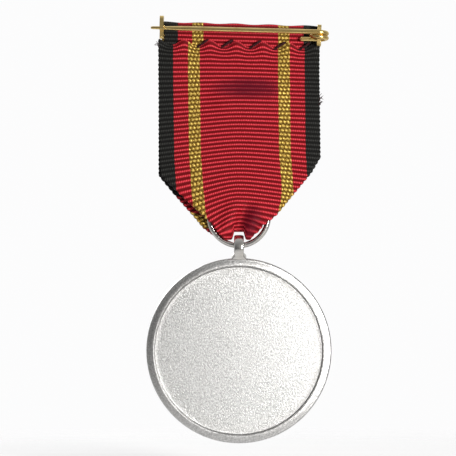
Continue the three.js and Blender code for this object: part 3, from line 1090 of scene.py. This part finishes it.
def needle_path(steps):
    """The needle's middle line: straight from its tip to the hinge, one and a half turns of a helix round the
    ear's band, then the short leg along the ribbon, all turned by the bar's tilt."""
    tip_x, tip_y = NEEDLE_TIP
    shaft = tip_x - HINGE_X
    winding = 2 * np.pi * COIL_RADIUS * COIL_TURNS
    along = np.linspace(0, shaft + winding + LEG_LENGTH, steps)
    share = np.clip(along / shaft, 0, 1)
    turned = np.clip((along - shaft) / winding, 0, 1)
    angle = np.pi / 2 + turned * COIL_TURNS * 2 * np.pi
    coil_x = HINGE_X + COIL_RADIUS * np.cos(angle) + np.maximum(along - shaft - winding, 0)
    coil_y = COIL_Y + COIL_RADIUS * np.sin(angle)
    x = np.where(along < shaft, tip_x - along, coil_x)
    y = np.where(along < shaft, tip_y + share * (COIL_Y + COIL_RADIUS - tip_y), coil_y)
    z = NEEDLE_Z - turned * COIL_TURNS * COIL_PITCH
    tilt = np.arctan(TILT)
    turned_x = x * np.cos(tilt) - z * np.sin(tilt)
    turned_z = x * np.sin(tilt) + z * np.cos(tilt)
    return np.stack([turned_x, y, turned_z], axis=-1), along


class MEDAL_OT_needle(MedalOperator, bpy.types.Operator):
    """Make the needle with its coil and leg, drawn out to a blunt point"""

    bl_idname = "medal.needle"
    bl_label = "Pin Needle"

    def execute(self, context):
        path, along = needle_path(520)
        radius = NEEDLE_RADIUS * (0.62 + 0.38 * ease(0, 7.5, along)) * np.sqrt(ease(-0.35, 0.45, along))
        radius = radius * np.sqrt(ease(0, 0.3, along[-1] - along) * 0.75 + 0.25)
        points, faces = tube(path, radius, 20)
        made = make_object("needle_wire", points, faces)
        settings = context.scene.medal_metal
        self.dress(made, shared_material("polished_brass", polished_brass, settings), "brass")
        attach(made, "needle")
        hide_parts("pin_needle")
        return {"FINISHED"}


# ---- Stage ---------------------------------------------------------------------------------------------


def studio_light(name, place, size, power, aim):
    """A square soft light at a place, turned towards the point that it lights."""
    data = bpy.data.lights.new(name, "AREA")
    data.shape = "SQUARE"
    data.size = size
    data.energy = power
    lamp = bpy.data.objects.new(name, data)
    lamp.location = place
    lamp.rotation_euler = (Vector(aim) - Vector(place)).to_track_quat("-Z", "Y").to_euler()
    bpy.context.scene.collection.objects.link(lamp)
    return lamp


def studio_world(settings):
    """A pale room: near white where it is seen, and for the lighting brighter beyond the front and
    overhead."""
    world = bpy.data.worlds.new("studio")
    graph = Graph(world)
    ray = graph.node("ShaderNodeTexCoord").outputs["Generated"]
    split = graph.node("ShaderNodeSeparateXYZ", {}, {"Vector": ray})
    turned_away = Value(graph, split.outputs["Y"]) * -0.5 + 0.5
    overhead = Value(graph, split.outputs["Z"]) * 0.5 + 0.5
    strength = turned_away**1.4 * settings.sky + overhead**2.0 * 0.33 + 0.04
    light = graph.node("ShaderNodeBackground", {}, {"Color": (1, 1, 1, 1), "Strength": strength})
    seen = graph.node("ShaderNodeBackground", {}, {"Color": (0.975, 0.975, 0.978, 1), "Strength": 1.0})
    camera_ray = graph.node("ShaderNodeLightPath").outputs["Is Camera Ray"]
    shaders = {0: camera_ray, 1: light.outputs["Background"], 2: seen.outputs["Background"]}
    mixed = graph.node("ShaderNodeMixShader", {}, shaders)
    graph.node("ShaderNodeOutputWorld", {}, {"Surface": mixed.outputs[0]})
    return world


def floor_paint(settings):
    """A pale matte floor that fades out round the medal, so that it meets the room without an edge."""
    paint = Paint("pale_floor", **{"Roughness": 0.9, "Base Color": colour(settings.floor)})
    flat = paint.node("ShaderNodeVectorMath", {"operation": "MULTIPLY"}, {0: paint.place(), 1: (1, 1, 0)})
    away = paint.node("ShaderNodeVectorMath", {"operation": "LENGTH"}, {0: flat.outputs[0]})
    return paint.wear(Alpha=1 - Value(paint, away.outputs["Value"]).above(0.085, 0.15))


class MEDAL_OT_stage(MedalOperator, bpy.types.Operator):
    """Set the floor, the lights and the camera, which looks straight at the medal's back"""

    bl_idname = "medal.stage"
    bl_label = "Studio Stage"

    def execute(self, context):
        settings = context.scene.medal_stage
        scene = context.scene
        scene.view_settings.view_transform = "Standard"
        middle = (0.00206, 0.0, -0.03746)  # what the camera looks at
        camera_data = bpy.data.cameras.new("camera")
        camera_data.lens = settings.lens
        camera = bpy.data.objects.new("camera", camera_data)
        distance = settings.view_width * settings.lens / camera_data.sensor_width
        camera.location = (middle[0], distance, middle[2])
        camera.rotation_euler = (np.pi / 2, 0, np.pi)
        scene.collection.objects.link(camera)
        scene.camera = camera

        scene.world = studio_world(settings)
        key = studio_light("key", (-0.133, 0.263, -0.014), 0.05, settings.key_power, middle)
        key.data.color = (1.0, 0.985, 0.96)
        studio_light("front_fill", (0.22, -0.4, 0.12), 0.2, settings.fill_power, middle)

        half = 0.4
        floor_z = (DISC_LOW[2] - 6) * MM
        mesh = bpy.data.meshes.new("studio_floor")
        square = [(x * half, y * half, floor_z) for x, y in ((-1, -1), (1, -1), (1, 1), (-1, 1))]
        mesh.from_pydata(square, [], [(0, 1, 2, 3)])
        floor = bpy.data.objects.new("studio_floor", mesh)
        scene.collection.objects.link(floor)
        mesh.materials.append(floor_paint(settings))
        return {"FINISHED"}


# ---- Panel and registration ----------------------------------------------------------------------------

PIECE_OPERATORS = (
    MEDAL_OT_stage,
    MEDAL_OT_ring,
    MEDAL_OT_eyelet,
    MEDAL_OT_disc,
    MEDAL_OT_brooch,
    MEDAL_OT_needle,
    MEDAL_OT_ribbon_top,
    MEDAL_OT_ribbon_layers,
    MEDAL_OT_thread,
    MEDAL_OT_loose_yarn,
)


class MEDAL_PT_sidebar(bpy.types.Panel):
    """The medal's pieces and settings"""

    bl_label = "Service Medal"
    bl_space_type = "VIEW_3D"
    bl_region_type = "UI"
    bl_category = "Medal"

    def draw(self, context):
        for operator in PIECE_OPERATORS:
            self.layout.operator(operator.bl_idname)
        for settings in (context.scene.medal_ribbon, context.scene.medal_metal, context.scene.medal_stage):
            for name in settings.__annotations__:
                self.layout.prop(settings, name)


SETTINGS = {
    "medal_ribbon": MedalRibbonSettings,
    "medal_metal": MedalMetalSettings,
    "medal_stage": MedalStageSettings,
}
CLASSES = (*SETTINGS.values(), *PIECE_OPERATORS, MEDAL_PT_sidebar)


def register():
    for each in CLASSES:
        bpy.utils.register_class(each)
    for name, group in SETTINGS.items():
        setattr(bpy.types.Scene, name, PointerProperty(type=group))


def unregister():
    for name in SETTINGS:
        delattr(bpy.types.Scene, name)
    for each in reversed(CLASSES):
        bpy.utils.unregister_class(each)


def main():
    register()
    for operator in PIECE_OPERATORS:
        group, name = operator.bl_idname.split(".")
        getattr(getattr(bpy.ops, group), name)()


if __name__ == "__main__":
    main()
